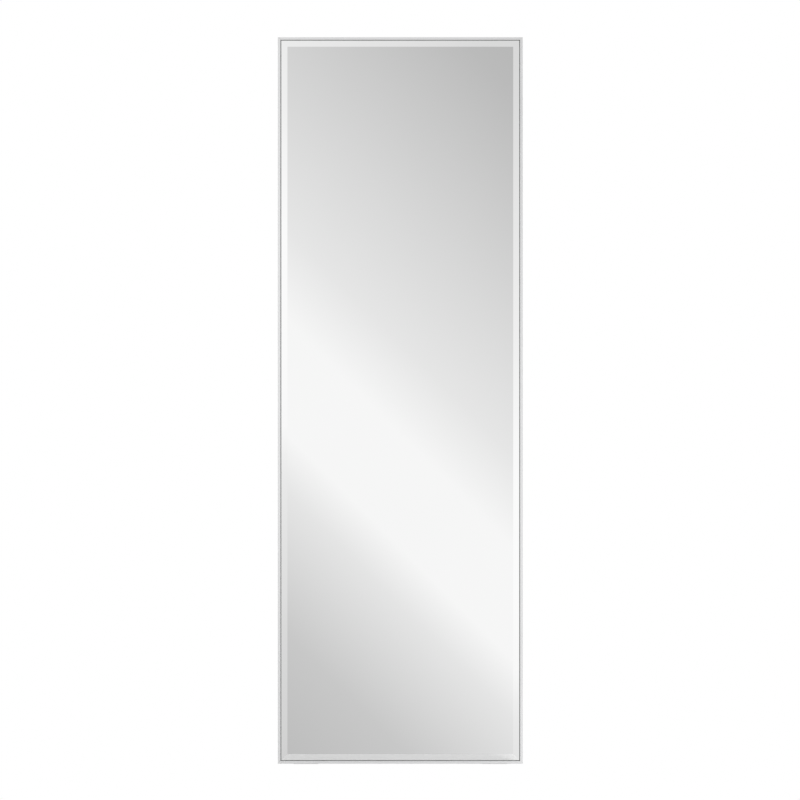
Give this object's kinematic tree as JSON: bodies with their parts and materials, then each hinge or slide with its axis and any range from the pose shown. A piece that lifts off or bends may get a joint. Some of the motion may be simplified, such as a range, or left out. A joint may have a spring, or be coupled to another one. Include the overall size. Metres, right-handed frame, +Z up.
{
  "type": "leaning floor mirror",
  "caption": "Full-length leaning floor mirror: bevelled glass floated in a slim mitred satin aluminium frame, with floor pads, wall bumpers and swinging hanging rings behind.",
  "frame": {"origin": "on the floor, under the middle of the mirror's box", "axes": "+X to the viewer's right, +Y from the glass towards the wall, +Z up"},
  "size_m": [0.608, 0.029, 1.8042],
  "materials": {
    "satin_aluminium": "satin anodised",
    "mill_aluminium": "mill finish",
    "silvered_glass": "polished, bevelled, silver behind",
    "silvering": "silvered, painted behind",
    "vinyl_film": "matt",
    "foam_tape": "closed-cell foam",
    "painted_fibreboard": "matt black paint",
    "steel_screw": "zinc plated",
    "plated_steel": "zinc plated",
    "plated_wire": "nickel plated",
    "pale_silicone": "matt",
    "black_rubber": "matt"
  },
  "bodies": {
    "mirror": {"backing_board": "painted_fibreboard", "board_screws": "steel_screw", "bottom_rail": "satin_aluminium", "corner_key_bottom_left": "mill_aluminium", "corner_key_bottom_right": "mill_aluminium", "corner_key_top_left": "mill_aluminium", "corner_key_top_right": "mill_aluminium", "corner_set_screws": "steel_screw", "floor_pad_left": "pale_silicone", "floor_pad_right": "pale_silicone", "hanger_screws": "steel_screw", "hanger_strap_left": "plated_steel", "hanger_strap_right": "plated_steel", "left_stile": "satin_aluminium", "mirror_glass": "silvered_glass", "mounting_tape": "foam_tape", "right_stile": "satin_aluminium", "safety_film": "vinyl_film", "setting_block_left": "black_rubber", "setting_block_right": "black_rubber", "silver_coating": "silvering", "top_rail": "satin_aluminium", "wall_bumper_bottom_left": "black_rubber", "wall_bumper_bottom_right": "black_rubber", "wall_bumper_top_left": "black_rubber", "wall_bumper_top_right": "black_rubber"},
    "left_ring": {"d_ring_left": "plated_wire"},
    "right_ring": {"d_ring_right": "plated_wire"}
  },
  "joints": [
    {"name": "left_ring_pivot", "type": "hinge", "parent": "mirror", "child": "left_ring", "pos_m": [-0.2032, 0.00695, 1.3842], "axis": [1, 0, 0], "range_deg": [0, 175]},
    {"name": "right_ring_pivot", "type": "hinge", "parent": "mirror", "child": "right_ring", "pos_m": [0.2032, 0.00695, 1.3842], "axis": [1, 0, 0], "range_deg": [0, 175]}
  ]
}
